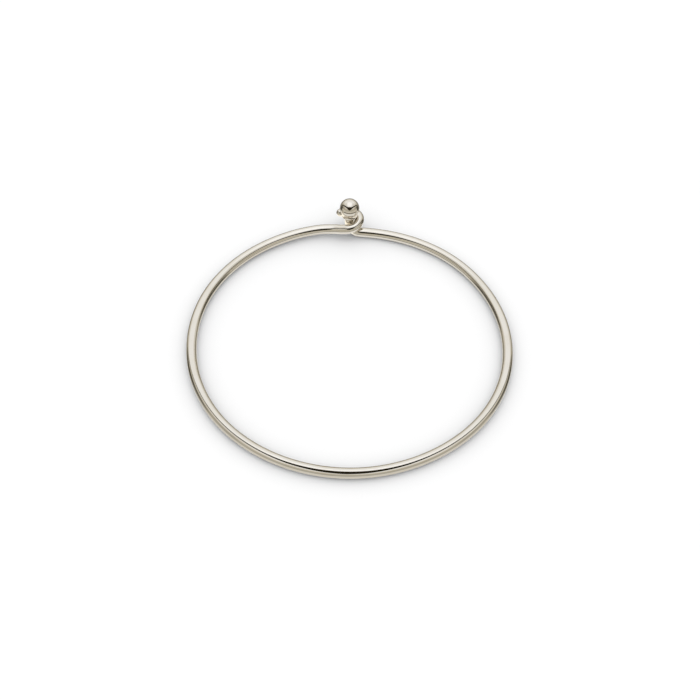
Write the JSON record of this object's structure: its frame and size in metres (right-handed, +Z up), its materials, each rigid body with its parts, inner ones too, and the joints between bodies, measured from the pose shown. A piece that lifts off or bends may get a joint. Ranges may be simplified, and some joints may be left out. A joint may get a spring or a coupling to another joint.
{
  "type": "ball-and-hook bangle",
  "caption": "Round wire bangle closed by a hook at one end, which springs round a post with a ball on it at the other end.",
  "frame": {"origin": "centre of the hoop, on the surface that the bangle lies on", "axes": "+Y from the hoop's centre towards the clasp, +Z up from the surface, +X to the right when the clasp is at the far side"},
  "size_m": [0.0641, 0.0676, 0.0085],
  "materials": {
    "polished_wire": "polished, pale warm silver",
    "polished_ball": "polished, pale warm silver"
  },
  "bodies": {
    "root": {"hoop_wire": "polished_wire", "ball_end": "polished_ball"}
  },
  "joints": []
}
